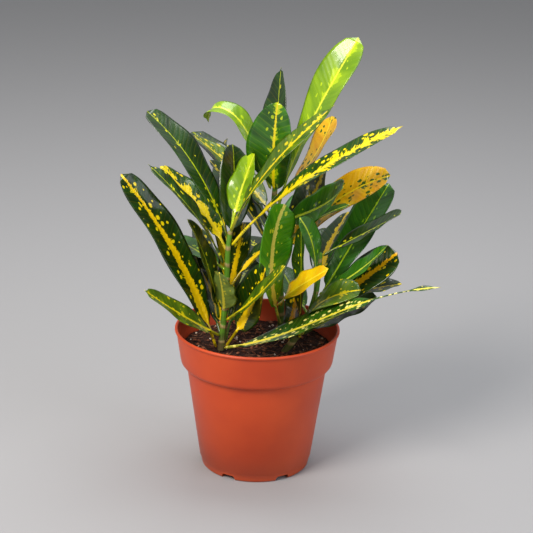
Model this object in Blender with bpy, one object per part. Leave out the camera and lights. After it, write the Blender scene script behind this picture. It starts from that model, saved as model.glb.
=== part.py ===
"""Potted croton: a moulded plastic grow pot, its compost, three rooted stems and their leaves.

Sizes in the tables are millimetres and degrees, measured from the middle of the pot's foot. The meshes
are metres, +Z up, and are slid sideways at the end, so that the origin lies under the middle of the whole
plant's box, on the surface that it stands on. The front of the plant faces -Y.
"""
import math

import bmesh
import bpy
from mathutils import Matrix, Vector

MM = 0.001
GAP = 0.3                      # left between pieces that touch

# ---- pot: a 12 cm round grow pot
RIM_RADIUS = 60.0
POT_HEIGHT = 106.0
BASE_RADIUS = 40.2
WALL = 1.3
WALL_SLOPE = 0.14              # millimetres outward for each millimetre up
COLLAR_BOTTOM = 78.3           # where the collar leaves the tapered wall
COLLAR_DROP = 4.4              # height of the collar's rounded underside
COLLAR_STEP = 4.5              # how far the collar stands out from the wall
LIP_HEIGHT = 2.4
LIP_PROUD = 1.2
LIP_THICK = 2.4
FOOT_HEIGHT = 7.0              # the foot ring is set in under this line
FOOT_INSET = 0.5
FLOOR_BOTTOM = 4.2
FOOT_WALL = 3.4
NOTCH_COUNT = 6
NOTCH_WIDTH = 10.5
NOTCH_HEIGHT = 3.6
NOTCH_TURN = 31.0              # degrees from the front to the first notch
DRAIN_RADIUS = 3.0
DRAIN_CIRCLE = 29.0
POT_SEGMENTS = 60

# ---- compost
SOIL_TOP = 91.0
SOIL_CROWN = 1.0
SOIL_SEGMENTS = 30

# ---- stems: points up the middle of each, with its lowest and highest radius
STEM_SIDES = 10
STEMS = {
    "left": ([(-26, -10, 91.6), (-25, -10, 105), (-22.5, -9, 140), (-22, -8, 165), (-20.5, -6, 180)], 2.6, 1.8),
    "middle": ([(17, 16, 91.8), (17, 16, 120), (13, 15, 160), (10, 13, 190), (11.5, 12, 219)], 2.7, 1.9),
    "right": ([(20, -11, 91.7), (28, -9, 102), (36, -6, 116), (42, -3, 136), (44, 0, 163)], 2.6, 1.8),
}

# ---- leaves
STALK_RADIUS = 1.1
BLADE_THICKNESS = 1.0
FOLD = 14.0                    # degrees that each half of a blade is raised from flat
STATIONS = 14
END_DRAW = 1.35                # above 1, the stations draw together towards the tip
# One row for a leaf: height on the stem, compass direction (0 is +X, 90 is +Y), rise above level at the
# stem, change of rise and of direction from stem to tip, length, width, roll about its own line, place
# of the widest point and bluntness of the tip (small is blunt). A last entry holds what only a few have.
LEAVES = {
    "left": [
        (94, 165, 71, -21, 7, 143, 23, 30, 0.58, 0.50),
        (104, -141, 33, 8, -4, 79, 18, 35, 0.45, 0.90),
        (177, 140, 66, -30, 22, 106, 23, 10, 0.66, 0.50),
        (159, -157, 68, -32, -48, 90, 16, 5, 0.50, 0.90),
        (166, 114, 34, 7, 58, 82, 22, 5, 0.60, 0.70),
        (134, 91, 34, 48, 60, 108, 22, -43, 0.60, 0.55),
        (117, 183, 84, -23, 26, 80, 20, 32, 0.50, 0.80),
        (103, 114, 45, 18, 20, 67, 17, -30, 0.50, 0.80),
        (107, 103, 44, 18, 52, 48, 18, -20, 0.45, 0.80),
        (134, 118, 17, 9, -21, 75, 22, -40, 0.60, 0.55),
        (125, -95, 65, -6, -11, 38, 19, 30, 0.40, 0.70, {"stalk": 0.06}),
        (181, 53, 74, -4, -60, 56, 21, -25, 0.55, 0.60, {"stalk": 0.2}),
        (172, -31, 53, -30, 42, 153, 17, -20, 0.58, 0.90),
        (172, 102, 29, -10, -18, 115, 18, 55, 0.60, 0.60),
        (173, 75, 71, -17, 27, 70, 25, -32, 0.55, 0.60),
        (181, -40, 66, -28, 60, 121, 17, -25, 0.40, 1.00),
        (116, -49, 37, 14, 4, 82, 15, -47, 0.60, 0.80),
        (96, -15, 57, 12, -44, 74, 27, -75, 0.60, 0.50, {"stalk": 0.2}),
        (99, 43, 79, -39, -60, 64, 16, -15, 0.60, 0.80),
        (140, 27, 55, -19, -36, 48, 15, -10, 0.60, 0.80, {"stalk": 0.2}),
        (124, 72, 49, 0, 9, 66, 28, 35, 0.55, 0.50, {"stalk": 0.08}),
        (94, -26, 16, -8, 14, 171, 21, -15, 0.60, 0.60, {"stalk": 0.05, "bow": 18, "broken": (0.7, 0.85, 4.5)}),
        (152, 132, 13, -10, 0, 60, 20, 0, 0.60, 0.60),
        (121, 75, 12, 5, 0, 70, 20, 0, 0.60, 0.60),
    ],
    "middle": [
        (179, 134, 43, -22, 3, 99, 22, -5, 0.70, 0.45),
        (186, 119, 31, 7, 60, 86, 20, 5, 0.50, 0.80),
        (168, 132, 36, 13, -31, 71, 18, -30, 0.60, 0.55),
        (158, 166, 63, -17, 6, 81, 18, 5, 0.60, 0.55),
        (193, -34, 75, -18, 60, 137, 27, -30, 0.66, 0.60),
        (209, -103, 74, 1, 34, 69, 32, -145, 0.42, 0.80, {"stalk": 0.03, "fold": 24}),
        (216, 92, 78, -16, -12, 78, 24, 50, 0.50, 1.10),
        (208, 176, 68, -195, -60, 89, 19, 15, 0.45, 0.80, {"curl": 4.5}),
        (105, -102, 44, 81, -35, 103, 29, 98, 0.62, 0.50, {"stalk": 0.22}),
        (119, -92, 32, 6, 60, 87, 18, -50, 0.45, 0.70),
        (200, 18, 40, 7, 54, 75, 20, 25, 0.60, 0.70),
        (154, -12, 63, -41, -7, 106, 25, -42, 0.60, 0.60),
        (182, -13, 21, 24, -60, 73, 23, -55, 0.55, 0.60),
        (158, -50, 58, -36, 46, 72, 14, -10, 0.60, 0.80),
        (153, 45, 53, 22, -60, 78, 28, -30, 0.65, 0.50),
        (166, 70, 15, -10, 0, 80, 22, 0, 0.60, 0.60),
        (136, 110, 12, -5, 0, 70, 20, 0, 0.60, 0.60),
    ],
    "right": [
        (94, 75, 63, 6, -16, 49, 18, 35, 0.60, 0.55),
        (127, 35, 53, 1, -5, 100, 28, -10, 0.66, 0.45),
        (162, 12, 30, 7, -59, 68, 18, -20, 0.60, 0.70),
        (142, 81, 31, 9, -33, 65, 20, 25, 0.60, 0.60),
        (126, -77, 85, -36, -60, 83, 17, 90, 0.60, 0.80),
        (104, -72, 88, 8, 4, 83, 17, -95, 0.60, 0.80),
        (134, -10, 31, 22, -19, 65, 17, -25, 0.50, 0.90),
        (123, 2, 30, 14, 1, 71, 28, -30, 0.66, 0.42),
        (106, -59, 77, -70, 57, 65, 21, -25, 0.60, 0.42),
        (119, 4, 34, -22, -20, 68, 18, -10, 0.60, 0.80),
        (105, 4, 29, 1, -8, 59, 22, -15, 0.60, 0.60),
        (138, 80, 25, -15, 0, 72, 22, 0, 0.60, 0.60),
        (118, 108, 10, 5, 0, 66, 18, 0, 0.60, 0.60),
    ],
}


def clear_scene():
    for thing in list(bpy.data.objects):
        bpy.data.objects.remove(thing, do_unlink=True)


def make_material(name, colour, roughness):
    material = bpy.data.materials.new(name)
    material.use_nodes = True
    shader = material.node_tree.nodes["Principled BSDF"]
    shader.inputs["Base Color"].default_value = (*colour, 1.0)
    shader.inputs["Roughness"].default_value = roughness
    shader.inputs["Metallic"].default_value = 0.0
    return material


def add_piece(name, mesh_data, material):
    """Turn a finished bmesh, in metres, into a named object."""
    mesh = bpy.data.meshes.new(name)
    mesh_data.to_mesh(mesh)
    mesh_data.free()
    mesh.materials.append(material)
    piece = bpy.data.objects.new(name, mesh)
    bpy.context.scene.collection.objects.link(piece)
    mesh.shade_smooth()
    mesh.set_sharp_from_angle(angle=math.radians(35))
    return piece


# ------------------------------------------------------------------ pot
def arc(centre_r, centre_z, radius_r, radius_z, start, stop, steps):
    """Points of an elliptical arc in the (radius, height) plane; the angles are degrees from +r."""
    points = []
    for i in range(steps + 1):
        angle = math.radians(start + (stop - start) * i / steps)
        points.append((centre_r + radius_r * math.cos(angle), centre_z + radius_z * math.sin(angle)))
    return points


def wall_radius(height):
    return BASE_RADIUS + WALL_SLOPE * height


def pot_outline():
    """The closed wall section, from the foot up the outside, over the lip and down the inside."""
    collar_low = wall_radius(COLLAR_BOTTOM) + COLLAR_STEP
    collar_high = RIM_RADIUS - LIP_PROUD
    lip_low = POT_HEIGHT - LIP_HEIGHT
    corner = 1.6
    foot_top = wall_radius(FOOT_HEIGHT)
    points = arc(BASE_RADIUS - FOOT_INSET - corner, corner, corner, corner, -90, 0, 3)
    points += [(foot_top - FOOT_INSET, FOOT_HEIGHT - 0.4), (foot_top, FOOT_HEIGHT)]
    points.append((wall_radius(COLLAR_BOTTOM), COLLAR_BOTTOM - 0.6))
    points += arc(wall_radius(COLLAR_BOTTOM), COLLAR_BOTTOM + COLLAR_DROP, COLLAR_STEP, COLLAR_DROP, -90, 0, 4)
    points.append((collar_high, lip_low))
    points += arc(RIM_RADIUS - LIP_THICK / 2, POT_HEIGHT - LIP_HEIGHT / 2, LIP_THICK / 2, LIP_HEIGHT / 2, -50, 180, 7)
    points.append((collar_high - WALL, lip_low - 1.0))
    points.append((collar_low - WALL, COLLAR_BOTTOM + COLLAR_DROP + 1.0))
    points.append((wall_radius(COLLAR_BOTTOM) - WALL, COLLAR_BOTTOM + 1.2))
    floor_top = FLOOR_BOTTOM + WALL
    points.append((wall_radius(floor_top) - WALL, floor_top))
    return points, floor_top


def turn_solid(outline, segments):
    """Spin a closed section, whose first and last points may lie on the axis, into one solid."""
    solid = bmesh.new()
    chain = [solid.verts.new((r * MM, 0.0, z * MM)) for r, z in outline]
    for lower, upper in zip(chain, chain[1:]):
        solid.edges.new((lower, upper))
    bmesh.ops.spin(solid, geom=solid.verts[:] + solid.edges[:], cent=(0, 0, 0), axis=(0, 0, 1),
                   angle=2 * math.pi, steps=segments, use_merge=True)
    bmesh.ops.remove_doubles(solid, verts=solid.verts[:], dist=1e-6)
    bmesh.ops.recalc_face_normals(solid, faces=solid.faces[:])
    return solid


def cut_away(piece, cutter):
    cutter.hide_render = True
    cutter.display_type = "WIRE"
    cut = piece.modifiers.new(cutter.name, "BOOLEAN")
    cut.operation = "DIFFERENCE"
    cut.solver = "EXACT"
    cut.object = cutter


def make_pot(material):
    """Tapered wall, collar and rounded lip, with a floor held off the ground by a notched foot ring."""
    outline, floor_top = pot_outline()
    foot_inner = BASE_RADIUS - FOOT_INSET - FOOT_WALL
    section = [(0.0, FLOOR_BOTTOM), (foot_inner, FLOOR_BOTTOM), (foot_inner, 0.0)] + outline + [(0.0, floor_top)]
    pot = add_piece("pot", turn_solid(section, POT_SEGMENTS), material)

    notches = bmesh.new()
    drains = bmesh.new()
    for i in range(NOTCH_COUNT):
        angle = math.radians(-90 + NOTCH_TURN + 360 * i / NOTCH_COUNT)
        outward = Vector((math.cos(angle), math.sin(angle), 0))
        sideways = Vector((-math.sin(angle), math.cos(angle), 0))
        add_notch(notches, outward, sideways)
        made = bmesh.ops.create_cone(drains, cap_ends=True, segments=12, radius1=DRAIN_RADIUS * MM,
                                     radius2=DRAIN_RADIUS * MM, depth=8 * MM)
        spot = outward * DRAIN_CIRCLE * MM + Vector((0, 0, FLOOR_BOTTOM * MM))
        bmesh.ops.translate(drains, verts=made["verts"], vec=spot)
    cut_away(pot, add_piece("notch_cutter", notches, material))
    cut_away(pot, add_piece("drain_cutter", drains, material))


def add_notch(cutter, outward, sideways):
    """A block with rounded upper corners that crosses the foot ring."""
    corner = 1.4
    half = NOTCH_WIDTH / 2
    shape = [(half, -2.0), (half, NOTCH_HEIGHT - corner), (half - corner, NOTCH_HEIGHT)]
    shape += [(-x, z) for x, z in reversed(shape)]
    near = BASE_RADIUS - 8.0
    verts = [cutter.verts.new((outward * near + sideways * x + Vector((0, 0, z))) * MM) for x, z in shape]
    face = cutter.faces.new(verts)
    grown = bmesh.ops.extrude_face_region(cutter, geom=[face])
    moved = [item for item in grown["geom"] if isinstance(item, bmesh.types.BMVert)]
    bmesh.ops.translate(cutter, verts=moved, vec=outward * 14 * MM)
    bmesh.ops.recalc_face_normals(cutter, faces=cutter.faces[:])


# ------------------------------------------------------------------ compost
def make_soil(material):
    """The compost fills the pot to a little under the collar's top, and is crowned very slightly."""
    floor_top = FLOOR_BOTTOM + WALL
    inside = WALL + GAP
    collar_low = wall_radius(COLLAR_BOTTOM) + COLLAR_STEP
    collar_low_z = COLLAR_BOTTOM + COLLAR_DROP + 1.0
    lip_low = POT_HEIGHT - LIP_HEIGHT
    slope = (RIM_RADIUS - LIP_PROUD - collar_low) / (lip_low - 1.0 - collar_low_z)
    edge = collar_low + slope * (SOIL_TOP - collar_low_z) - inside
    section = [
        (0.0, floor_top + GAP),
        (wall_radius(floor_top) - inside - 0.3, floor_top + GAP),
        (wall_radius(COLLAR_BOTTOM) - inside - 0.2, COLLAR_BOTTOM + 1.2),
        (collar_low - inside - 0.2, collar_low_z),
        (edge - 0.2, SOIL_TOP - 0.8),
        (edge - 2.0, SOIL_TOP - 0.2),
        (edge * 0.5, SOIL_TOP + SOIL_CROWN * 0.1),
        (0.0, SOIL_TOP + SOIL_CROWN * 0.2),
    ]
    add_piece("soil", turn_solid(section, SOIL_SEGMENTS), material)


# ------------------------------------------------------------------ stems
def smooth_point(points, t):
    """A point at 0..1 along a smooth curve through the points, with its direction."""
    spans = len(points) - 1
    i = min(int(t * spans), spans - 1)
    k = t * spans - i
    p1, p2 = Vector(points[i]), Vector(points[i + 1])
    p0 = Vector(points[i - 1]) if i > 0 else 2 * p1 - p2
    p3 = Vector(points[i + 2]) if i + 2 <= spans else 2 * p2 - p1
    a, b, c = 2 * p1, p2 - p0, 2 * p0 - 5 * p1 + 4 * p2 - p3
    d = 3 * p1 - 3 * p2 + p3 - p0
    place = 0.5 * (a + b * k + c * k * k + d * k ** 3)
    heading = 0.5 * (b + 2 * c * k + 3 * d * k * k)
    return place, heading.normalized()


def make_stem(side, material):
    """A round green stem, extruded ring by ring up its curve and closed by a low dome."""
    points, low_radius, high_radius = STEMS[side]
    rings = 12
    stem = bmesh.new()
    made = bmesh.ops.create_circle(stem, cap_ends=True, segments=STEM_SIDES, radius=MM)
    corners = [v.co.copy() / MM for v in made["verts"]]
    face = stem.faces[:][0]
    verts = list(made["verts"])
    foot = list(verts)
    for ring in range(rings + 2):
        t = min(1.0, ring / rings)
        place, heading = smooth_point(points, t)
        radius = low_radius + (high_radius - low_radius) * t
        if ring > rings:
            place = place + heading * 0.8
            radius *= 0.55
        if ring > 0:
            grown = bmesh.ops.extrude_discrete_faces(stem, faces=[face])
            face = grown["faces"][0]
            verts = list(face.verts)
        turn = Vector((0, 0, 1)).rotation_difference(heading) if ring > 0 else None
        for vert, corner in zip(verts, corners):
            offset = corner * radius
            if turn is not None:
                offset.rotate(turn)
            vert.co = (place + offset) * MM
    stem.faces.new(foot)
    bmesh.ops.recalc_face_normals(stem, faces=stem.faces[:])
    add_piece("stem_" + side, stem, material)


def stem_centre(side, height):
    """The stem's middle and radius at a height."""
    points, low_radius, high_radius = STEMS[side]
    low, high = 0.0, 1.0
    for _ in range(30):
        t = (low + high) / 2
        if smooth_point(points, t)[0].z < height:
            low = t
        else:
            high = t
    place, _ = smooth_point(points, t)
    return place, low_radius + (high_radius - low_radius) * t


# ------------------------------------------------------------------ leaves
def leaf_frame(s, azimuth, rise, arch, sweep, roll, bow, curl):
    """Direction, side and upper face of a leaf at s, from 0 at the stem to 1 at the tip."""
    k = s ** curl
    a = math.radians(azimuth + sweep * k)
    e = math.radians(rise + arch * k + bow * math.sin(math.pi * s))
    along = Vector((math.cos(e) * math.cos(a), math.cos(e) * math.sin(a), math.sin(e)))
    side = Vector((math.sin(a), -math.cos(a), 0.0))
    upper = side.cross(along)
    r = math.radians(roll)
    return along, side * math.cos(r) + upper * math.sin(r), upper * math.cos(r) - side * math.sin(r)


def blade_width(u, widest, tip):
    """Width of a blade, as a share of its greatest, at u from its foot (0) to its tip (1)."""
    if u <= 0.0 or u >= 1.0:
        return 0.0
    foot = tip * widest / (1.0 - widest)
    return (u ** foot * (1.0 - u) ** tip) / (widest ** foot * (1.0 - widest) ** tip)


def half_width(s, width, widest, tip, stalk, broken):
    least = STALK_RADIUS * math.sqrt(1.0 - s) + 0.05
    if broken is None:
        return max(least, width / 2 * blade_width((s - stalk) / (1.0 - stalk), widest, tip))
    first_end, second_start, second_width = broken
    first = width / 2 * blade_width((s - stalk) / (first_end - stalk), widest, tip)
    second = second_width / 2 * blade_width((s - second_start) / (1.0 - second_start), 0.5, 0.7)
    return max(least, first, second)


def leaf_start(side, height, azimuth, rise):
    """Where the leaf's stalk begins, beside its stem."""
    centre, radius = stem_centre(side, height)
    a, e = math.radians(azimuth), math.radians(rise)
    if rise > 90:
        a, e = a + math.pi, math.pi - e
    reach = radius + GAP + (STALK_RADIUS + 0.05) * abs(math.sin(e)) + 0.8 * max(0.0, math.cos(e))
    top = STEMS[side][0][-1][2]
    if height > top - 0.5:
        reach = 1.6
        centre = centre + Vector((0, 0, 2.2))
    return centre + Vector((math.cos(a), math.sin(a), 0)) * reach


def make_leaf(name, side, row, material):
    """One leaf with its stalk: a folded section of four corners, extruded from station to station."""
    height, azimuth, rise, arch, sweep, length, width, roll, widest, tip = row[:10]
    extra = row[10] if len(row) > 10 else {}
    stalk = extra.get("stalk", 0.12)
    broken = extra.get("broken")
    fold = math.tan(math.radians(extra.get("fold", FOLD)))
    shape = (azimuth, rise, arch, sweep, roll, extra.get("bow", 0.0), extra.get("curl", 1.0))
    count = STATIONS if broken is None else 20
    places = [1.0 - (1.0 - i / (count - 1)) ** END_DRAW for i in range(count)]

    leaf = bmesh.new()
    centre = leaf_start(side, height, azimuth, rise)
    face = leaf.faces.new([leaf.verts.new() for _ in range(4)])
    foot = list(face.verts)
    for i in range(count - 1):
        s = places[i]
        if i > 0:
            middle = leaf_frame((places[i - 1] + s) / 2, *shape)[0]
            centre = centre + middle * length * (s - places[i - 1])
            face = bmesh.ops.extrude_discrete_faces(leaf, faces=[face])["faces"][0]
        along, across, upper = leaf_frame(s, *shape)
        half = half_width(s, width, widest, tip, stalk, broken)
        blade = min(1.0, max(0.0, (half - STALK_RADIUS) / 3.0))
        thick = STALK_RADIUS * (1.0 - blade) * math.sqrt(1.0 - s) + BLADE_THICKNESS / 2 * blade
        thick = max(thick, 0.35)
        lift = upper * fold * half * blade
        corners = [centre - across * half + lift, centre + upper * thick,
                   centre + across * half + lift, centre - upper * thick]
        for vert, corner in zip(face.verts, corners):
            vert.co = corner * MM
        if i == 0:
            start = (centre - along * 0.8) * MM
    middle = leaf_frame((places[-2] + 1.0) / 2, *shape)[0]
    end = (centre + middle * length * (1.0 - places[-2])) * MM
    for cap, point in ((face, end), (leaf.faces.new(foot), start)):
        apex = bmesh.ops.poke(leaf, faces=[cap])["verts"][0]
        apex.co = point
    bmesh.ops.triangulate(leaf, faces=leaf.faces[:])
    bmesh.ops.recalc_face_normals(leaf, faces=leaf.faces[:])
    add_piece(name, leaf, material)


def centre_on_box():
    """Slide every piece sideways so that the origin is under the middle of the plant's whole box."""
    pieces = [thing for thing in bpy.data.objects if thing.type == "MESH" and not thing.hide_render]
    corners = [vert.co for piece in pieces for vert in piece.data.vertices]
    middle_x = (min(c.x for c in corners) + max(c.x for c in corners)) / 2
    middle_y = (min(c.y for c in corners) + max(c.y for c in corners)) / 2
    for thing in bpy.data.objects:
        if thing.type == "MESH":
            thing.data.transform(Matrix.Translation((-middle_x, -middle_y, 0)))


clear_scene()
make_pot(make_material("terracotta_plastic", (0.60, 0.13, 0.04), 0.45))
make_soil(make_material("compost", (0.03, 0.015, 0.01), 0.95))
for stem_side in STEMS:
    make_stem(stem_side, make_material("green_stem_" + stem_side, (0.16, 0.25, 0.04), 0.5))
for stem_side, rows in LEAVES.items():
    for number, leaf_row in enumerate(rows, start=1):
        leaf_name = "leaf_%s_%02d" % (stem_side, number)
        make_leaf(leaf_name, stem_side, leaf_row, make_material(leaf_name, (0.06, 0.20, 0.02), 0.35))
centre_on_box()
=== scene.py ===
"""Potted croton: a small variegated croton in a moulded grow pot, on a plain floor in soft light.

Every length in the tables is in millimetres; MM turns it to the metres of the frame.
"""
import math
import random

import bmesh
import bpy
from mathutils import Matrix, Vector


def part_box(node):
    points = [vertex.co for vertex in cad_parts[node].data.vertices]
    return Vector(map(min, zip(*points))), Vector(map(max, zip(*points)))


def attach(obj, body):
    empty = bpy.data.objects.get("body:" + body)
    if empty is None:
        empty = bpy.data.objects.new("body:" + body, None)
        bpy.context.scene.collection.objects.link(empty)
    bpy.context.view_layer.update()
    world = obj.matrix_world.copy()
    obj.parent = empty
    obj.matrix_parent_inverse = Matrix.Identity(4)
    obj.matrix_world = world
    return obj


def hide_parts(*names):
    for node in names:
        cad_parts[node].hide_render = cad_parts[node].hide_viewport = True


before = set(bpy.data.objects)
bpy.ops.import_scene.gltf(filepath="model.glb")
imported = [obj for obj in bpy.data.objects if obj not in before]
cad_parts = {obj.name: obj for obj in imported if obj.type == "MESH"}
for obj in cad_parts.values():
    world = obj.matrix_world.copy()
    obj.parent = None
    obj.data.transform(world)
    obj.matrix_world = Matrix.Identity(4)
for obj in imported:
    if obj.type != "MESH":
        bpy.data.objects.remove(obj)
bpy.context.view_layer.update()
MM = 0.001

# ------------------------------------------------------------------ pot
# The grow pot is one injection moulding of terracotta-coloured polypropylene: a tapered wall, a collar with
# a rounded lip and a notched foot ring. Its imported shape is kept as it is, shaded smooth, and finished here.
def linear(hex_colour):
    """The linear RGBA value of an sRGB colour written as six hex digits."""
    channels = [int(hex_colour[i:i + 2], 16) / 255 for i in (0, 2, 4)]
    return [c / 12.92 if c <= 0.04045 else ((c + 0.055) / 1.055) ** 2.4 for c in channels] + [1.0]


def add_node(tree, kind, links=(), **settings):
    """Add a node; links pairs each input, by name or number, with a value or with another node's output."""
    made = tree.nodes.new("ShaderNode" + kind)
    for name, value in settings.items():
        setattr(made, name, value)
    for socket, value in links:
        if isinstance(value, bpy.types.NodeSocket):
            tree.links.new(value, made.inputs[socket])
        else:
            made.inputs[socket].default_value = value
    return made


def new_material(name, roughness, ior=1.45):
    """A material that shades with one Principled BSDF: the material, its node tree and that shader."""
    material = bpy.data.materials.new(name)
    material.use_nodes = True
    shader = material.node_tree.nodes["Principled BSDF"]
    shader.inputs["Roughness"].default_value = roughness
    shader.inputs["IOR"].default_value = ior
    return material, material.node_tree, shader


# Polypropylene, moulded: satin, in cloudy tones some 40 mm wide, with a fine mould grain of about 1 mm,
# drawn that coarse so that it shows, and a little dust low on the wall.
plastic, tree, shader = new_material("moulded polypropylene", 0.46, 1.49)
place = add_node(tree, "TexCoord").outputs["Object"]
clouds = add_node(tree, "TexNoise", [("Vector", place), ("Scale", 26.0), ("Detail", 3.0)])
grit = add_node(tree, "TexNoise", [("Vector", place), ("Scale", 900.0), ("Detail", 4.0), ("Roughness", 0.7)])
tint = add_node(tree, "ValToRGB", [("Fac", clouds.outputs["Fac"])])
tint.color_ramp.elements[0].position, tint.color_ramp.elements[1].position = 0.30, 0.72
tint.color_ramp.elements[0].color = linear("bb3c0e")
tint.color_ramp.elements[1].color = linear("cc4a16")
height = add_node(tree, "SeparateXYZ", [("Vector", place)])
low = add_node(tree, "MapRange", [("Value", height.outputs["Z"]), ("From Min", 0.022), ("From Max", 0.0)])
dirt = add_node(tree, "MapRange", [("Value", low.outputs[0]), ("To Max", 0.22)])
dusty = add_node(tree, "Mix", [("Factor", dirt.outputs[0]), (6, tint.outputs[0]), (7, linear("8a5a3c"))],
                 data_type="RGBA")
tree.links.new(dusty.outputs[2], shader.inputs["Base Color"])
gloss = add_node(tree, "MapRange", [("Value", clouds.outputs["Fac"]), ("To Min", 0.36), ("To Max", 0.56)])
tree.links.new(gloss.outputs[0], shader.inputs["Roughness"])
sparkle = add_node(tree, "Bump", [("Height", grit.outputs["Fac"]), ("Strength", 0.10), ("Distance", 0.00015)])
tree.links.new(sparkle.outputs[0], shader.inputs["Normal"])
shader.inputs["Subsurface Weight"].default_value = 0.06
shader.inputs["Subsurface Radius"].default_value = (0.004, 0.0012, 0.0005)
moulding = bmesh.new()
moulding.from_mesh(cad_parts["pot"].data)
bmesh.ops.remove_doubles(moulding, verts=moulding.verts[:], dist=2e-6)
mesh = bpy.data.meshes.new("grow_pot")
moulding.to_mesh(mesh)
moulding.free()
for layer in ("custom_normal", "sharp_edge", "sharp_face"):
    if layer in mesh.attributes:
        mesh.attributes.remove(mesh.attributes[layer])
mesh.shade_smooth()
mesh.set_sharp_from_angle(angle=math.radians(50))
mesh.materials.clear()
mesh.materials.append(plastic)
pot = bpy.data.objects.new("grow_pot", mesh)
bpy.context.scene.collection.objects.link(pot)
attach(pot, "root")
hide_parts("pot")
pot_low, pot_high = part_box("pot")
POT_MIDDLE = Vector(((pot_low.x + pot_high.x) / 2, (pot_low.y + pot_high.y) / 2, 0))

# ------------------------------------------------------------------ compost
# Peat and bark compost, packed in by hand and settled about 15 mm under the rim. The block is turned up
# from a disc; crumbs, bark chips, fibres and white perlite grains lie pressed into its surface.
COMPOST_TOP = 91.4
COMPOST_RADIUS = 54.6
COMPOST_SKIRT = 4.0             # how far the crumbled layer reaches down the wall
CRUMB_LAYERS = (("crumbs", 6.0, 2.2), ("grains", 1.8, 1.2))     # name, size and height of the lumps
random.seed(41)
compost = bmesh.new()
bmesh.ops.create_grid(compost, x_segments=150, y_segments=150, size=COMPOST_RADIUS * MM)
for vert in compost.verts:
    reach = max(abs(vert.co.x), abs(vert.co.y))
    if reach > 0:
        vert.co = vert.co * (reach / vert.co.length)
bmesh.ops.translate(compost, verts=compost.verts, vec=POT_MIDDLE + Vector((0, 0, (COMPOST_TOP - 0.6) * MM)))
skirt = bmesh.ops.extrude_edge_only(compost, edges=[e for e in compost.edges if e.is_boundary])["geom"]
bmesh.ops.translate(compost, verts=[g for g in skirt if isinstance(g, bmesh.types.BMVert)], 
                    vec=(0, 0, -COMPOST_SKIRT * MM))
bmesh.ops.holes_fill(compost, edges=[e for e in compost.edges if e.is_boundary])
bmesh.ops.recalc_face_normals(compost, faces=compost.faces)
mesh = bpy.data.meshes.new("compost")
compost.to_mesh(mesh)
compost.free()
compost = bpy.data.objects.new("compost", mesh)
bpy.context.scene.collection.objects.link(compost)
for label, size, depth in CRUMB_LAYERS:
    texture = bpy.data.textures.new("compost " + label, "CLOUDS")
    texture.noise_scale = size * MM
    texture.noise_depth = 3
    lift = compost.modifiers.new(label, "DISPLACE")
    lift.texture, lift.texture_coords, lift.direction = texture, "GLOBAL", "Z"
    lift.strength, lift.mid_level = depth * MM, 0.75

# Damp peat: near black-brown, dull, with paler dry specks about 1 mm across.
peat, tree, shader = new_material("damp peat compost", 0.93)
place = add_node(tree, "TexCoord").outputs["Object"]
specks = add_node(tree, "TexNoise", [("Vector", place), ("Scale", 420.0), ("Detail", 6.0),
                                     ("Roughness", 0.75)])
tint = add_node(tree, "ValToRGB", [("Fac", specks.outputs["Fac"])])
tint.color_ramp.elements[0].position, tint.color_ramp.elements[0].color = 0.38, linear("140904")
tint.color_ramp.elements[1].position, tint.color_ramp.elements[1].color = 0.74, linear("7a4a34")
middle = tint.color_ramp.elements.new(0.56)
middle.color = linear("38190d")
tree.links.new(tint.outputs[0], shader.inputs["Base Color"])
crumble = add_node(tree, "Bump", [("Height", specks.outputs["Fac"]), ("Strength", 0.7), ("Distance", 0.0008)])
tree.links.new(crumble.outputs[0], shader.inputs["Normal"])
mesh.materials.append(peat)
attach(compost, "root")
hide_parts("soil")

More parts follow.
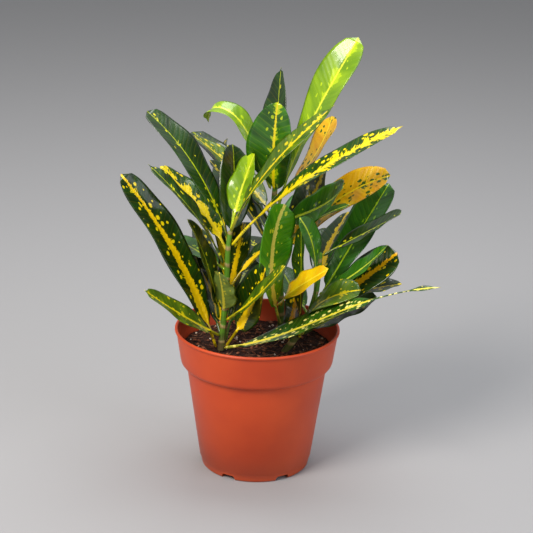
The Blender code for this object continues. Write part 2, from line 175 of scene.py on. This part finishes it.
# Loose bits strewn over the compost: name, how many, length, width, thickness, colours.
LOOSE_BITS = [
    ("bark_chips", 170, 4.2, 2.2, 1.0, "5a2c18", "9c6244"),
    ("peat_fibres", 190, 11.0, 0.45, 0.4, "5c3420", "9a6a4c"),
    ("perlite_grains", 60, 1.9, 1.6, 1.4, "b49a86", "e6d8c8"),
]
STREWN_RADIUS = 52.0
for name, count, length, width, thick, dark, pale in LOOSE_BITS:
    bits = bmesh.new()
    for i in range(count):
        away = STREWN_RADIUS * math.sqrt(random.random())
        around = random.uniform(0, 2 * math.pi)
        spot = POT_MIDDLE + Vector((away * math.cos(around), away * math.sin(around),
                                    COMPOST_TOP - 0.2 + 0.3 * thick)) * MM
        grow = random.uniform(0.5, 1.25)
        turn = Matrix.Rotation(random.uniform(0, math.pi), 4, "Z")
        lean = Matrix.Rotation(random.gauss(0, 0.22), 4, "Y") @ Matrix.Rotation(random.gauss(0, 0.5), 4, "X")
        size = Matrix.Diagonal((length * grow * MM, width * grow * MM, thick * grow * MM, 1))
        bit = bmesh.ops.create_icosphere(bits, subdivisions=1, radius=0.5,
                                         matrix=Matrix.Translation(spot) @ turn @ lean @ size)["verts"]
        bend = random.uniform(-0.5, 0.5) * (1 if name == "peat_fibres" else 0)
        for vert in bit:
            offset = turn.inverted() @ (vert.co - spot)
            vert.co += turn @ Vector((0, bend * offset.x * offset.x / (length * MM), 0))
            if name != "peat_fibres":
                vert.co += Vector([random.uniform(-0.16, 0.16) * thick * MM for _ in range(3)])
    mesh = bpy.data.meshes.new(name)
    bits.to_mesh(mesh)
    bits.free()
    scraps = bpy.data.objects.new(name, mesh)
    bpy.context.scene.collection.objects.link(scraps)
    # Dry bark, fibre or expanded perlite: each bit has its own tone, taken from where it lies.
    material, tree, shader = new_material(name.replace("_", " "), 0.88)
    place = add_node(tree, "TexCoord").outputs["Object"]
    tones = add_node(tree, "TexNoise", [("Vector", place), ("Scale", 260.0), ("Detail", 2.0)])
    tint = add_node(tree, "ValToRGB", [("Fac", tones.outputs["Fac"])])
    tint.color_ramp.elements[0].position, tint.color_ramp.elements[0].color = 0.35, linear(dark)
    tint.color_ramp.elements[1].position, tint.color_ramp.elements[1].color = 0.65, linear(pale)
    tree.links.new(tint.outputs[0], shader.inputs["Base Color"])
    mesh.materials.append(material)
    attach(scraps, "root")

# ------------------------------------------------------------------ stems
# Three rooted cuttings. The stems keep their imported shape; young croton bark is green and turns grey-brown
# low down, with the raised ring scars that dropped leaves leave every 6 mm or so.
bark, tree, shader = new_material("young croton bark", 0.62)
place = add_node(tree, "TexCoord").outputs["Object"]
height = add_node(tree, "SeparateXYZ", [("Vector", place)])
patches = add_node(tree, "TexNoise", [("Vector", place), ("Scale", 120.0), ("Detail", 4.0)])
age = add_node(tree, "MapRange", [("Value", height.outputs["Z"]), ("From Min", 0.088), ("From Max", 0.165)])
mixed = add_node(tree, "Math", [(0, age.outputs[0]), (1, patches.outputs["Fac"])], operation="ADD")
tint = add_node(tree, "ValToRGB", [("Fac", mixed.outputs[0])])
tint.color_ramp.elements[0].position, tint.color_ramp.elements[0].color = 0.35, linear("6a5238")
tint.color_ramp.elements[1].position, tint.color_ramp.elements[1].color = 1.35, linear("56881a")
middle = tint.color_ramp.elements.new(0.8)
middle.color = linear("4a6a18")
rings = add_node(tree, "TexWave", [("Vector", place), ("Scale", 27.0), ("Distortion", 3.0), ("Detail", 2.0),
                                   ("Detail Scale", 2.0)], wave_type="BANDS", bands_direction="Z")
scar = add_node(tree, "MapRange", [("Value", rings.outputs["Fac"]), ("From Min", 0.80), ("From Max", 1.0)])
marked = add_node(tree, "Mix", [("Factor", scar.outputs[0]), (6, tint.outputs[0]), (7, linear("a08c58"))],
                  data_type="RGBA")
tree.links.new(marked.outputs[2], shader.inputs["Base Color"])
relief = add_node(tree, "Math", [(0, scar.outputs[0]), (1, patches.outputs["Fac"])], operation="ADD")
raised = add_node(tree, "Bump", [("Height", relief.outputs[0]), ("Strength", 0.5), ("Distance", 0.0007)])
tree.links.new(raised.outputs[0], shader.inputs["Normal"])
for side in ("left", "middle", "right"):
    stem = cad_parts["stem_" + side]
    stem.data.materials.clear()
    stem.data.materials.append(bark)

# ------------------------------------------------------------------ leaves
# Each leaf is one leathery blade on a short round stalk, folded in a shallow V along a pale midrib. The
# packed leaf gives its centre line, width, roll and fold, and the blade is lofted over that, a little
# fuller, with a wavy margin.
STEM_POINTS = [v.co.copy() for side in ("left", "middle", "right")
               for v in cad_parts["stem_" + side].data.vertices]
STATIONS = 64                   # cross-sections along one leaf
ACROSS = 15                     # points over the upper side of one cross-section
STALK_RADIUS = 1.1
BLADE_STARTS = 1.3              # the half width gained over the stalk's by which it has turned to blade
FULLER = 1.14                   # the blade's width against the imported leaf's
SHOULDERS = 0.72                # under 1, the blade fills out sooner from both ends
RIPPLE = 1.1                    # swing of the margin up and down, on a blade over 18 mm wide
BLADE_THICK = 0.22              # over and under the middle sheet
GROOVE, KEEL, RIB_SPREAD = 0.30, 0.55, 0.9      # midrib: depth above, depth below, half width
VEIN_SPACING = 4.6


def walk_rings(beside, end):
    """The points of a leaf in steps from one end, as lists: those one edge away, two edges away and so on."""
    steps, seen = [[end]], {end}
    while steps[-1]:
        following = {n for v in steps[-1] for n in beside[v]} - seen
        seen |= following
        steps.append(sorted(following, key=lambda v: v.index))
    return steps[:-1]


def packed_sections(node):
    """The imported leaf's cross-sections, stalk to tip: centre, across, up, half width and margin lift."""
    shape = bmesh.new()
    shape.from_mesh(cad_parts[node].data)
    bmesh.ops.remove_doubles(shape, verts=shape.verts[:], dist=2e-6)
    beside = {v: [e.other_vert(v) for e in v.link_edges] for v in shape.verts}
    walks = [walk_rings(beside, v) for v in shape.verts if len(beside[v]) == 4]
    walks = [w for w in walks if all(len(ring) == 4 for ring in w[1:-1]) and len(w[-1]) == 1]
    walk = min(walks, key=lambda w: min((w[0][0].co - p).length for p in STEM_POINTS))
    rings = walk[1:-1]
    widest = max(range(len(rings)), key=lambda i: spread(rings[i])[0])
    corners = {widest: order_section(rings[widest])}
    for i in list(range(widest + 1, len(rings))) + list(range(widest - 1, -1, -1)):
        known = corners[i - 1] if i > widest else corners[i + 1]
        corners[i] = match_section(known, [v.co.copy() for v in rings[i]])
    sections = []
    for i in range(len(rings)):
        one, top, other, bottom = corners[i]
        centre = (top + bottom) / 2
        across = (other - one).normalized()
        up = (top - bottom).normalized()
        sections.append([centre, across, up, (other - one).length / 2, ((one + other) / 2 - centre).dot(up),
                         (top - bottom).length / 2])
    start, stop = walk[0][0].co.copy(), walk[-1][0].co.copy()
    shape.free()
    return sections, start, stop


def spread(ring):
    """The widest distance in a ring of four points, and the pair that has it."""
    pairs = [((ring[i].co - ring[j].co).length, i, j) for i in range(4) for j in range(i)]
    return max(pairs)


def order_section(ring):
    """Sort a wide section's four points into margin, top, other margin, underside."""
    _, i, j = spread(ring)
    rest = [ring[k].co.copy() for k in range(4) if k not in (i, j)]
    middle = (ring[i].co + ring[j].co) / 2
    rest.sort(key=lambda p: (p - middle).length)
    return [ring[i].co.copy(), rest[0], ring[j].co.copy(), rest[1]]


def match_section(known, points):
    """Sort a section's points so that each lies where its neighbour's did."""
    known_middle = sum(known, Vector()) / 4
    middle = sum(points, Vector()) / 4
    orders = [(a, b, c, d) for a in range(4) for b in range(4) for c in range(4) for d in range(4)
              if len({a, b, c, d}) == 4]
    best = min(orders, key=lambda o: sum(((known[k] - known_middle) - (points[o[k]] - middle)).length_squared
                                         for k in range(4)))
    one, top, other, bottom = [points[k] for k in best]
    chord = (one + other) / 2
    if (one - other).length > 5 * MM and (top - chord).length > (bottom - chord).length:
        top, bottom = bottom, top
    return [one, top, other, bottom]


def between(values, place):
    """A smooth curve through evenly numbered values, floats or vectors."""
    last = len(values) - 1
    i = min(int(place), last - 1)
    t = place - i
    before = values[i - 1] if i > 0 else values[i] * 2 - values[i + 1]
    after = values[i + 2] if i + 2 <= last else values[i + 1] * 2 - values[i]
    return ((values[i] * 2) + (values[i + 1] - before) * t
            + (before * 2 - values[i] * 5 + values[i + 1] * 4 - after) * t * t
            + (values[i] * 3 - before - values[i + 1] * 3 + after) * t ** 3) * 0.5


def make_leaf(node, seed):
    """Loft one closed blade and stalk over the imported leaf, with its own coordinates for the markings."""
    chance = random.Random(seed)
    sections, start, stop = packed_sections(node)
    centres, acrosses, ups, halves, lifts, thicks = zip(*sections)
    widest = max(halves) * FULLER
    wave = [(chance.uniform(0.5, 1.0), chance.uniform(0, 6.3), chance.uniform(1.4, 3.2)) for _ in range(2)]
    leaf = bmesh.new()
    marks = leaf.verts.layers.float_vector.new("marking")
    lower = leaf.verts.layers.float.new("underside")
    own = leaf.verts.layers.float.new("own_pattern")
    reach = leaf.verts.layers.float.new("margin_share")
    shift = chance.uniform(0, 900)
    loops, length, previous = [], 0.0, centres[0]
    total = sum((b - a).length for a, b in zip(centres, centres[1:] + (stop,)))
    for k in range(STATIONS):
        place = (len(sections) - 1) * k / (STATIONS - 1)
        centre = between(centres, place)
        across = between(acrosses, place).normalized()
        up = between(ups, place)
        up = (up - across * up.dot(across)).normalized()
        half = max(between(halves, place), 0.35 * MM)
        lift = between(lifts, place)
        thick = max(between(thicks, place), 0.3 * MM)
        length += (centre - previous).length
        previous = centre
        blade = min(1.0, max(0.0, (half / MM - STALK_RADIUS) / BLADE_STARTS))
        if blade > 0:
            half = half * (1 - blade) + blade * widest * min(1.0, half * FULLER / widest) ** SHOULDERS
        along = length / total
        points = []
        for m in range(2 * ACROSS - 2):
            upper = m < ACROSS
            u = -1 + 2 * m / (ACROSS - 1) if upper else 1 - 2 * (m - ACROSS + 1) / (ACROSS - 1)
            side = 1.0 if upper else -1.0
            angle = math.acos(u)
            stalk = across * (math.cos(angle) * thick) + up * (side * math.sin(angle) * thick)
            fold = lift * abs(u) ** 1.35
            margin = 1 if u > 0 else 0
            swing = wave[margin][0] * math.sin(wave[margin][1] + along * 2 * math.pi * wave[margin][2])
            fold += RIPPLE * MM * swing * abs(u) ** 2.5 * min(1.0, half / (9 * MM))
            rib = math.exp(-(u * half / (RIB_SPREAD * MM)) ** 2)
            body = side * BLADE_THICK * MM * (1 - 0.6 * abs(u)) - (GROOVE if upper else KEEL) * MM * rib
            sheet = across * (u * half) + up * (fold + body * (1.0 if abs(u) < 1 else 0.2))
            at = centre + stalk * (1 - blade) + sheet * blade
            vert = leaf.verts.new(at)
            vert[marks] = (u * half / MM, length / MM, along)
            vert[lower] = 0.0 if upper else 1.0
            vert[reach] = abs(u) * blade + (1 - blade) * (1.0 if along > 0.5 else 0.57)
            points.append(vert)
        loops.append(points)
    for one, two in zip(loops, loops[1:]):
        for m in range(len(one)):
            n = (m + 1) % len(one)
            leaf.faces.new((one[m], one[n], two[n], two[m]))
    root = start - (centres[1] - centres[0]).normalized() * MM
    for points, tip, along in ((loops[0][::-1], root, 0.0), (loops[-1], stop, 1.0)):
        end = leaf.verts.new(tip)
        end[marks] = (0.0, along * length / MM, along)
        for m in range(len(points)):
            leaf.faces.new((points[m], points[(m + 1) % len(points)], end))
    bmesh.ops.recalc_face_normals(leaf, faces=leaf.faces)
    for vert in leaf.verts:
        vert[own] = shift
    mesh = bpy.data.meshes.new(node.replace("leaf", "blade"))
    leaf.to_mesh(mesh)
    leaf.free()
    mesh.shade_smooth()
    piece = bpy.data.objects.new(mesh.name, mesh)
    bpy.context.scene.collection.objects.link(piece)
    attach(piece, "root")
    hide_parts(node)
    return piece


def leaf_finish(name, dark, light, rib, blotch, rib_widths, blotching, flooding, veins, roughness=0.27):
    """A croton leaf's waxy skin. Colours are hex: the two greens, the midrib and the blotches.

    rib_widths gives the midrib's half width, in mm, at the base and near the tip. blotching is the share
    of drops, flooding that of broad runs, and veins how bright the side veins are, each from 0 to 1.
    """
    material, tree, shader = new_material(name, roughness, 1.42)
    mark = add_node(tree, "Attribute", attribute_name="marking").outputs["Vector"]
    own = add_node(tree, "Attribute", attribute_name="own_pattern").outputs["Fac"]
    under = add_node(tree, "Attribute", attribute_name="underside").outputs["Fac"]
    parts = add_node(tree, "SeparateXYZ", [("Vector", mark)])
    off = add_node(tree, "Math", [(0, parts.outputs["X"])], operation="ABSOLUTE").outputs[0]
    far, along = parts.outputs["Y"], parts.outputs["Z"]
    # Side veins leave the midrib forwards at about 50 degrees, evenly spaced but for a slow sway.
    slant = add_node(tree, "Math", [(0, off), (1, -0.75), (2, far)], operation="MULTIPLY_ADD").outputs[0]
    spot = add_node(tree, "CombineXYZ", [("X", parts.outputs["X"]), ("Y", slant), ("Z", own)]).outputs[0]
    long_spot = add_node(tree, "VectorMath", [(0, spot), (1, (0.30, 0.62, 1.0))],
                         operation="MULTIPLY").outputs[0]
    wide = add_node(tree, "TexNoise", [("Vector", long_spot), ("Scale", 0.16),
                                       ("Detail", 2.0)]).outputs["Fac"]
    fine = add_node(tree, "TexNoise", [("Vector", long_spot), ("Scale", 0.95), ("Detail", 3.0),
                                       ("Roughness", 0.6)]).outputs["Fac"]
    green = add_node(tree, "MapRange", [("Value", wide), ("From Min", 0.36), ("From Max", 0.66)]).outputs[0]
    colour = add_node(tree, "Mix", [("Factor", green), (6, linear(dark)), (7, linear(light))],
                      data_type="RGBA").outputs[2]
    sway = add_node(tree, "Math", [(0, wide), (1, 9.0)], operation="MULTIPLY").outputs[0]
    comb = add_node(tree, "Math", [(0, slant), (1, 2 * math.pi / VEIN_SPACING), (2, sway)],
                    operation="MULTIPLY_ADD").outputs[0]
    comb = add_node(tree, "Math", [(0, comb)], operation="COSINE").outputs[0]
    vein = add_node(tree, "MapRange", [("Value", comb), ("From Min", 0.86), ("From Max", 1.0)]).outputs[0]
    lit = add_node(tree, "Math", [(0, vein), (1, veins)], operation="MULTIPLY").outputs[0]
    colour = add_node(tree, "Mix", [("Factor", lit), (6, colour), (7, linear(blotch))],
                      data_type="RGBA").outputs[2]
    # Drops of yellow, 1 to 3 mm wide, are scattered over the blade, most of them near the midrib.
    aside = add_node(tree, "Math", [(0, own), (1, 7.3), (2, parts.outputs["X"])],
                     operation="MULTIPLY_ADD").outputs[0]
    flat = add_node(tree, "CombineXYZ", [("X", aside), ("Y", far)]).outputs[0]
    jitter = add_node(tree, "VectorMath", [(0, flat), (1, (0.9, 0.6, 1.0))], operation="MULTIPLY").outputs[0]
    cells = add_node(tree, "TexVoronoi", [("Vector", jitter), ("Scale", 0.34), ("Randomness", 1.0)],
                     voronoi_dimensions="2D")
    dice = add_node(tree, "SeparateXYZ", [("Vector", cells.outputs["Color"])])
    near = add_node(tree, "MapRange", [("Value", off), ("From Min", 0.0), ("From Max", 10.0),
                                       ("To Min", 0.22), ("To Max", -0.18)]).outputs[0]
    odds = add_node(tree, "Math", [(0, dice.outputs["X"]), (1, near)], operation="SUBTRACT").outputs[0]
    chosen = add_node(tree, "Math", [(0, odds), (1, blotching)], operation="LESS_THAN").outputs[0]
    radius = add_node(tree, "Math", [(0, dice.outputs["Y"]), (1, 0.34), (2, 0.10)],
                      operation="MULTIPLY_ADD").outputs[0]
    wobble = add_node(tree, "Math", [(0, fine), (1, 0.45), (2, -0.22)], operation="MULTIPLY_ADD").outputs[0]
    reach = add_node(tree, "Math", [(0, cells.outputs["Distance"]), (1, wobble)], operation="ADD").outputs[0]
    reach = add_node(tree, "Math", [(0, radius), (1, reach)], operation="SUBTRACT").outputs[0]
    drop = add_node(tree, "MapRange", [("Value", reach), ("From Min", 0.0), ("From Max", 0.07)]).outputs[0]
    drop = add_node(tree, "Math", [(0, drop), (1, chosen)], operation="MULTIPLY").outputs[0]
    colour = add_node(tree, "Mix", [("Factor", drop), (6, colour), (7, linear(blotch))],
                      data_type="RGBA").outputs[2]
    # Strongly coloured leaves also have runs of yellow between the side veins.
    runs = add_node(tree, "Math", [(0, fine), (1, 0.5), (2, wide)], operation="MULTIPLY_ADD").outputs[0]
    runs = add_node(tree, "Math", [(0, runs), (1, near)], operation="ADD").outputs[0]
    shore = 1.10 - 0.42 * flooding
    flood = add_node(tree, "MapRange", [("Value", runs), ("From Min", shore), ("From Max", shore + 0.05)])
    colour = add_node(tree, "Mix", [("Factor", flood.outputs[0]), (6, colour), (7, linear(blotch))],
                      data_type="RGBA").outputs[2]
    # The midrib narrows to the tip, and its edge is a little ragged where pale tissue runs into the veins.
    width = add_node(tree, "MapRange", [("Value", along), ("From Min", 0.12), ("From Max", 0.92),
                                        ("To Min", rib_widths[0]), ("To Max", rib_widths[1])]).outputs[0]
    ragged = add_node(tree, "Math", [(0, fine), (1, rib_widths[0] * 1.2), (2, width)],
                      operation="MULTIPLY_ADD").outputs[0]
    ragged = add_node(tree, "Math", [(0, ragged), (1, rib_widths[0] * 0.6)], operation="SUBTRACT").outputs[0]
    ragged = add_node(tree, "Math", [(0, ragged), (1, 0.28)], operation="MAXIMUM").outputs[0]
    inside = add_node(tree, "Math", [(0, ragged), (1, off)], operation="SUBTRACT").outputs[0]
    stripe = add_node(tree, "MapRange", [("Value", inside), ("From Min", -0.15),
                                         ("From Max", 0.25)]).outputs[0]
    # The stripe stays off the margins, and on the stalk it is half mixed with green.
    share = add_node(tree, "Attribute", attribute_name="margin_share").outputs["Fac"]
    kept = add_node(tree, "MapRange", [("Value", share), ("From Min", 0.62), ("From Max", 0.48)]).outputs[0]
    stripe = add_node(tree, "Math", [(0, stripe), (1, kept)], operation="MULTIPLY").outputs[0]
    colour = add_node(tree, "Mix", [("Factor", stripe), (6, colour), (7, linear(rib))],
                      data_type="RGBA").outputs[2]
    # The underside is duller and paler than the upper side, with the same marks.
    pale = add_node(tree, "Mix", [("Factor", 0.42), (6, colour), (7, linear("8c9a4a"))],
                    data_type="RGBA").outputs[2]
    colour = add_node(tree, "Mix", [("Factor", under), (6, colour), (7, pale)], data_type="RGBA").outputs[2]
    tree.links.new(colour, shader.inputs["Base Color"])
    skin = add_node(tree, "MapRange", [("Value", under), ("To Min", roughness), ("To Max", 0.6)]).outputs[0]
    skin = add_node(tree, "Math", [(0, fine), (1, 0.16), (2, skin)], operation="MULTIPLY_ADD").outputs[0]
    tree.links.new(skin, shader.inputs["Roughness"])
    # Veins lie in shallow furrows, so the skin between them swells.
    furrow = add_node(tree, "Math", [(0, comb), (1, -0.5), (2, fine)], operation="MULTIPLY_ADD").outputs[0]
    swell = add_node(tree, "Bump", [("Height", furrow), ("Strength", 0.16), ("Distance", 0.0005)])
    tree.links.new(swell.outputs[0], shader.inputs["Normal"])
    shader.inputs["Coat Weight"].default_value = 0.6
    shader.inputs["Coat Roughness"].default_value = 0.10
    return material


# Waxed croton leaf skins, by colouring. Yellow runs to orange as a leaf ages.
FINISHES = {
    "dark": ("dark green leaf",
             "102a02", "1f4606", "b4c414", "d8d000", (0.6, 0.3), 0.10, 0.0, 0.05),
    "spotted": ("dark leaf with yellow specks",
                "102a02", "1f4606", "f0d400", "f4dc00", (1.2, 0.4), 0.42, 0.05, 0.05),
    "banded": ("dark leaf with a yellow band",
               "102a02", "1d4204", "f4cc00", "f4dc00", (4.0, 0.9), 0.32, 0.22, 0.04),
    "mottled": ("green leaf mottled with yellow",
                "183c03", "2a5a06", "f2d820", "f0d800", (1.8, 0.8), 0.50, 0.62, 0.08),
    "drops": ("green leaf with pale drops",
              "183c03", "2f6407", "f0e040", "f2ea80", (1.6, 0.8), 0.55, 0.22, 0.08),
    "olive": ("olive leaf",
              "335608", "5f7c0c", "e6d010", "d4c40c", (1.3, 0.5), 0.25, 0.20, 0.08),
    "green": ("fresh green leaf",
              "1f5c06", "3a7e0a", "cfe030", "a8cc10", (1.1, 0.5), 0.12, 0.0, 0.10),
    "broad": ("glossy green leaf with a lime midrib",
              "184a05", "2c6c08", "a8c81c", "7cb010", (0.8, 0.4), 0.08, 0.0, 0.10),
    "crown": ("green leaf with yellow-lit veins",
              "1f5205", "3c7e08", "f0dc10", "b4cc08", (1.5, 0.6), 0.2, 0.45, 0.12),
    # Painted light: this leaf's greens and cream midrib are painted about half as bright again as its own
    # colours, to make up for the shade cast by the leaves over it.
    "cream": ("green leaf with a cream midrib",
              "3a8a0a", "62ac12", "fff470", "e8f030", (2.6, 1.5), 0.22, 0.10, 0.08),
    "lime": ("young lime leaf",
             "6a9406", "90b608", "e4ea38", "b8d40e", (1.3, 0.6), 0.12, 0.45, 0.06),
    "yellow": ("yellow leaf",
               "e8b400", "f2cc00", "fce030", "f8d808", (1.0, 0.5), 0.1, 0.1, 0.04),
    "amber": ("orange-yellow leaf with green islands",
              "dc9c00", "f0c000", "f8d418", "3a5c06", (1.2, 0.5), 0.45, 0.30, 0.08),
    "orange": ("dark leaf with an orange band",
               "142f02", "224806", "f4b400", "f4d000", (4.2, 1.1), 0.34, 0.30, 0.05),
    # Painted sheen: this is a dark green leaf with a strong gloss. Its paler, greyer greens paint the sheen of
    # reflected light over its real green, and its low roughness is its real gloss.
    "silver": ("sheeny grey-green leaf",
               "2c5a22", "52803c", "bcd060", "a0bc40", (0.7, 0.3), 0.08, 0.0, 0.08, 0.20),
}
SKINS = {name: leaf_finish(*looks) for name, looks in FINISHES.items()}

# How each leaf is coloured, by stem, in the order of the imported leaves' numbers.
COLOURING = {
    "left": "banded olive dark dark mottled mottled dark dark banded spotted olive lime mottled spotted dark "
            "olive olive banded silver banded banded drops green dark",
    "middle": "dark olive dark spotted lime crown dark lime cream yellow amber amber green green banded "
              "green dark",
    "right": "orange broad dark banded green dark green orange olive spotted dark spotted green",
}
leaf_count = 0
for side, names in COLOURING.items():
    for number, skin in enumerate(names.split(), 1):
        leaf_count += 1
        blade = make_leaf("leaf_%s_%02d" % (side, number), 100 + leaf_count)
        blade.data.materials.append(SKINS[skin])

# ------------------------------------------------------------------ floor and light
# A plain pale sweep: a flat floor with softboxes high on the left and front, and a weak fill on the right.
floor_mesh = bpy.data.meshes.new("floor")
sheet = bmesh.new()
bmesh.ops.create_grid(sheet, x_segments=1, y_segments=1, size=6.0)
sheet.to_mesh(floor_mesh)
sheet.free()
floor = bpy.data.objects.new("floor", floor_mesh)
bpy.context.scene.collection.objects.link(floor)
paper, tree, shader = new_material("pale grey paper", 0.9)
shader.inputs["Base Color"].default_value = linear("a2a2a4")
floor_mesh.materials.append(paper)

world = bpy.data.worlds.new("studio")
world.use_nodes = True
world.node_tree.nodes["Background"].inputs["Color"].default_value = linear("d8dadc")
world.node_tree.nodes["Background"].inputs["Strength"].default_value = 0.50
bpy.context.scene.world = world
bpy.context.scene.view_settings.view_transform = "Standard"
SOFTBOXES = [
    ("key_softbox", (-0.75, -0.85, 1.15), 0.62, 23.0, "fff8f0"),
    ("fill_softbox", (0.95, -0.7, 0.65), 0.9, 5.5, "f2f6ff"),
    ("top_softbox", (0.1, 0.35, 1.3), 0.8, 10.0, "ffffff"),
]
AIM = POT_MIDDLE + Vector((0, 0, 0.15))
for name, spot, size, power, colour in SOFTBOXES:
    lamp = bpy.data.lights.new(name, "AREA")
    lamp.shape, lamp.size, lamp.energy, lamp.color = "SQUARE", size, power, linear(colour)[:3]
    softbox = bpy.data.objects.new(name, lamp)
    softbox.location = spot
    softbox.rotation_euler = (AIM - Vector(spot)).to_track_quat("-Z", "Y").to_euler()
    bpy.context.scene.collection.objects.link(softbox)

# ------------------------------------------------------------------ camera
# A short telephoto view from the front, 19 degrees above the rim, tipped a degree in the hand.
DISTANCE, RAISED, TIPPED = 1.200, 0.3381, 0.0202
back = Vector((0, -math.cos(RAISED), math.sin(RAISED)))
right = Vector((1, 0, 0)) * math.cos(TIPPED) + back.cross(Vector((1, 0, 0))) * math.sin(TIPPED)
aim = POT_MIDDLE + Vector((5.75, 0, 152.4)) * MM
lens = bpy.data.cameras.new("camera")
lens.lens, lens.sensor_width = 36 * 1673.4 / 533, 36.0
camera = bpy.data.objects.new("camera", lens)
turned = Matrix((right, back.cross(right), back)).transposed().to_4x4()
camera.matrix_world = Matrix.Translation(aim + back * DISTANCE) @ turned
bpy.context.scene.collection.objects.link(camera)
bpy.context.scene.camera = camera
